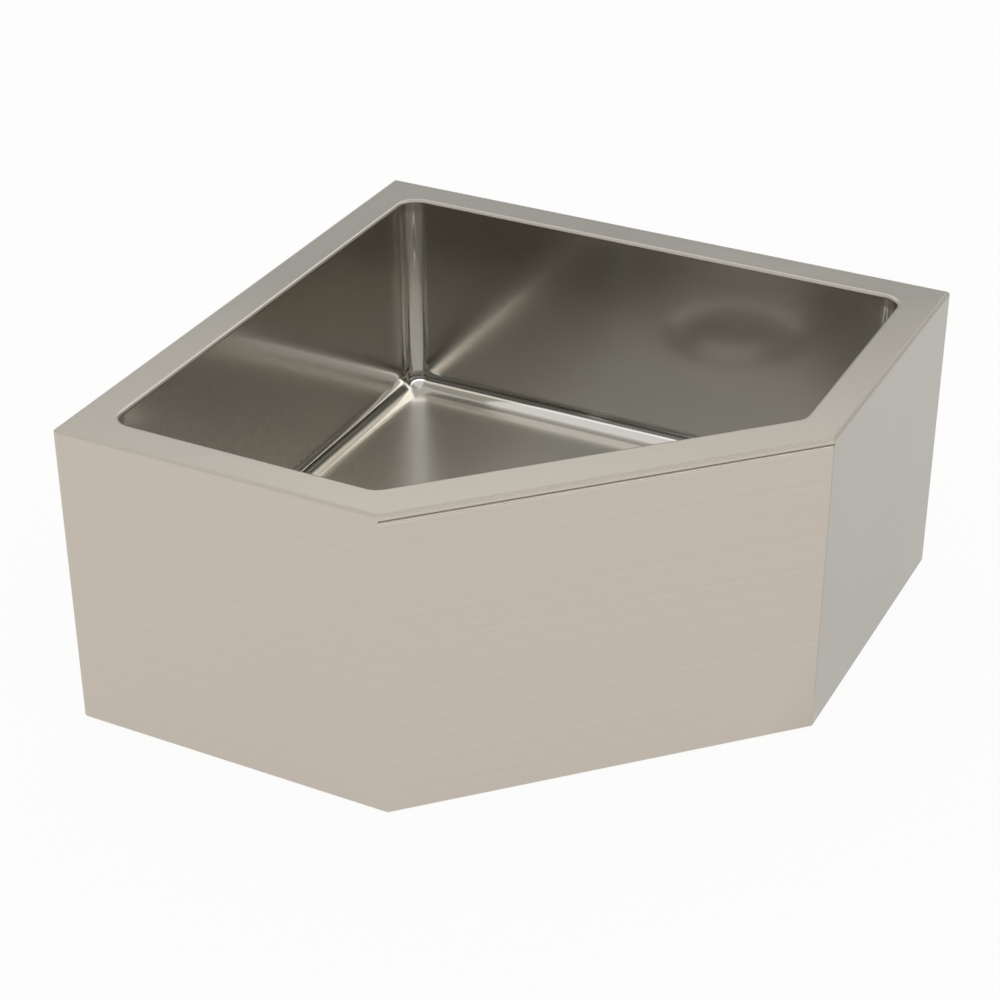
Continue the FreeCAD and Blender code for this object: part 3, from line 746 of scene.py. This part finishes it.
# %% The camera
CAMERA_EYE = Vector((-0.619, -1.9233, 1.3016))
CAMERA_TARGET = Vector((-0.0065, -0.0458, 0.1228))
CAMERA_ROLL = math.radians(-0.17)
CAMERA_LENS = 85.5
camera = bpy.data.objects.new("camera", bpy.data.cameras.new("camera"))
bpy.context.scene.collection.objects.link(camera)
camera.data.lens = CAMERA_LENS
aim = (CAMERA_TARGET - CAMERA_EYE).to_track_quat("-Z", "Y").to_matrix().to_4x4()
camera.matrix_world = Matrix.Translation(CAMERA_EYE) @ aim @ Matrix.Rotation(CAMERA_ROLL, 4, "Z")
bpy.context.scene.camera = camera
print("camera stands", round((CAMERA_TARGET - CAMERA_EYE).length, 3), "m from its target")

# %% [markdown]
# ## Floor
# Steel is a mirror, so the floor is half of the finish of the skirt. It is a mix of a pale paint, which
# takes the sink's soft shadow, and a glow. To the camera the glow is white and has most of the share,
# as on a photographer's sweep. To the steel the glow is warm, except beside the right return, where a
# grey tone is painted shade that darkens that return's reflection; the two blend at the front right corner.

# %% The floor
FLOOR_RADIUS = 7.0
FLOOR_CORNERS = 96
FLOOR_LEVEL = -0.0002
angles = np.linspace(0, 2 * np.pi, FLOOR_CORNERS, endpoint=False)
floor_edge = np.column_stack([FLOOR_RADIUS * np.cos(angles), FLOOR_RADIUS * np.sin(angles),
                              np.full(FLOOR_CORNERS, FLOOR_LEVEL)])
floor_mesh = bpy.data.meshes.new("floor")
floor_mesh.from_pydata(floor_edge.tolist(), [], [list(range(FLOOR_CORNERS))])
floor = bpy.data.objects.new("floor", floor_mesh)
bpy.context.scene.collection.objects.link(floor)
print("floor radius in m:", FLOOR_RADIUS)

# %% Its paint and glow
CAMERA_SHARE = 0.93
MIRROR_SHARE = 0.82
WHITE = (1, 1, 1, 1)
PALE_PAINT = (0.90, 0.86, 0.845, 1)
WARM_PAPER = (0.95, 0.91, 0.905, 1)
# Grey painted shade on the floor beside the right return, seen only in reflections.
PAINTED_SHADE_GREY = (0.71, 0.73, 0.735, 1)
PAINTED_SHADE_EDGE = FRONT_WIDTH / 2 + Y_FRONT
PAINTED_SHADE_BLEND = 0.05
floor_paint = bpy.data.materials.new("floor_paint")
floor_paint.use_nodes = True
tree = floor_paint.node_tree
tree.nodes.remove(tree.nodes["Principled BSDF"])
path = add_node(tree, "LightPath")
mirrored = add_node(tree, "Math", {0: path.outputs["Is Glossy Ray"], 1: MIRROR_SHARE}, operation="MULTIPLY")
glow_share = add_node(tree, "Math", {0: path.outputs["Is Camera Ray"], 1: CAMERA_SHARE,
                                     2: mirrored.outputs[0]}, operation="MULTIPLY_ADD")
place = add_node(tree, "SeparateXYZ", {0: add_node(tree, "TexCoord").outputs["Object"]})
past_shade_edge = add_node(tree, "Math", {0: place.outputs["X"], 1: place.outputs["Y"]}, operation="ADD")
# The share of the grey painted shade grows past the front right corner.
to_painted_shade = add_node(tree, "MapRange", {"Value": past_shade_edge.outputs[0], "From Min": PAINTED_SHADE_EDGE - PAINTED_SHADE_BLEND,
                                      "From Max": PAINTED_SHADE_EDGE + PAINTED_SHADE_BLEND})
floor_tone_and_painted_shade = mix_tones(tree, to_painted_shade.outputs["Result"], WARM_PAPER, PAINTED_SHADE_GREY)
glow = add_node(tree, "Emission", {"Color": mix_tones(tree, path.outputs["Is Camera Ray"], floor_tone_and_painted_shade, WHITE)})
paint = add_node(tree, "BsdfDiffuse", {"Color": PALE_PAINT})
both = add_node(tree, "MixShader", {0: glow_share.outputs[0], 1: paint.outputs[0], 2: glow.outputs[0]})
tree.links.new(both.outputs[0], tree.nodes["Material Output"].inputs["Surface"])
floor.data.materials.append(floor_paint)
print("nodes in the floor's paint:", len(tree.nodes))

# %% [markdown]
# ## Room light
# What a steel bowl shows is the room, after two or three reflections. So the room has six sides, and
# each is a ramp of tones by height, where 0 is the horizon and 1 is straight up. Low down most sides
# have pale screens, above them is a dim band, and higher up come the lights. A direction between the
# middles of two sides takes a share of both, and these shares always add up to 1.

# %% The room
DIM_TINT = np.array([0.80, 1.0, 1.10])
LIT_TINT = np.array([1.0, 0.975, 0.945])
ROOM = {
    "right": [(0.0, 0.9), (0.30, 0.6), (0.40, 0.25), (0.50, 0.15), (0.57, 0.3), (0.63, 1.2), (0.72, 1.2),
              (0.80, 0.9)],
    "back right": [(0.30, 0.35), (0.45, 0.25), (0.475, 0.9), (0.50, 1.15), (0.56, 1.35), (0.66, 1.35),
                   (0.80, 0.9)],
    "back left": [(0.34, 0.9), (0.42, 0.6), (0.46, 0.3), (0.50, 0.6), (0.54, 0.9)],
    "left": [(0.0, 0.8), (0.20, 1.0), (0.33, 0.7), (0.40, 0.12), (0.46, 0.15), (0.50, 0.55), (0.58, 0.9),
             (0.68, 0.9)],
    "front left": [(0.20, 1.8), (0.33, 0.6), (0.40, 0.05), (0.46, 0.2), (0.535, 0.4), (0.565, 2.3),
                   (0.63, 2.3), (0.69, 0.8)],
    "front right": [(0.20, 1.1), (0.33, 0.4), (0.40, 0.05), (0.46, 0.1), (0.535, 0.4), (0.565, 2.3),
                    (0.64, 2.3), (0.70, 0.8)],
}
SIDE_TURN = 2 * math.pi / len(ROOM)


def height_tones(tree, height, tones):
    """A ramp from the horizon up, with one stop for each pair of height and tone. Dim tones are cooler."""
    ramp = add_node(tree, "ValToRGB", {"Fac": height})
    stops = ramp.color_ramp.elements
    while len(stops) < len(tones):
        stops.new(0.5)
    for i, (position, level) in enumerate(tones):
        stops[i].position = position
        lit = min(level, 1.0)
        stops[i].color = (*(level * (lit * LIT_TINT + (1 - lit) * DIM_TINT)), 1)
    return ramp.outputs["Color"]


world = bpy.data.worlds.new("room")
bpy.context.scene.world = world
world.use_nodes = True
tree = world.node_tree
view = add_node(tree, "TexCoord").outputs["Generated"]
height = add_node(tree, "SeparateXYZ", {0: view}).outputs["Z"]
level_view = add_node(tree, "VectorMath", {0: view, 1: (1, 1, 0)}, operation="MULTIPLY")
compass = add_node(tree, "VectorMath", {0: level_view.outputs[0]}, operation="NORMALIZE")
room = (0, 0, 0)
for number, tones in enumerate(ROOM.values()):
    angle = number * SIDE_TURN
    toward = add_node(tree, "VectorMath", {0: compass.outputs[0], 1: (math.cos(angle), math.sin(angle), 0)},
                      operation="DOT_PRODUCT")
    apart = add_node(tree, "Math", {0: toward.outputs["Value"]}, operation="ARCCOSINE")
    share = add_node(tree, "MapRange", {"Value": apart.outputs[0], "From Max": SIDE_TURN, "To Min": 1.0,
                                        "To Max": 0.0})
    side_tone = height_tones(tree, height, tones)
    lit = add_node(tree, "VectorMath", {0: side_tone, "Scale": share.outputs["Result"]}, operation="SCALE")
    room = add_node(tree, "VectorMath", {0: room, 1: lit.outputs[0]}, operation="ADD").outputs[0]
to_camera = add_node(tree, "LightPath").outputs["Is Camera Ray"]
seen = mix_tones(tree, to_camera, room, WHITE)
tree.links.new(seen, tree.nodes["Background"].inputs["Color"])
bpy.context.scene.view_settings.view_transform = "Standard"
print("sides of the room:", len(ROOM))
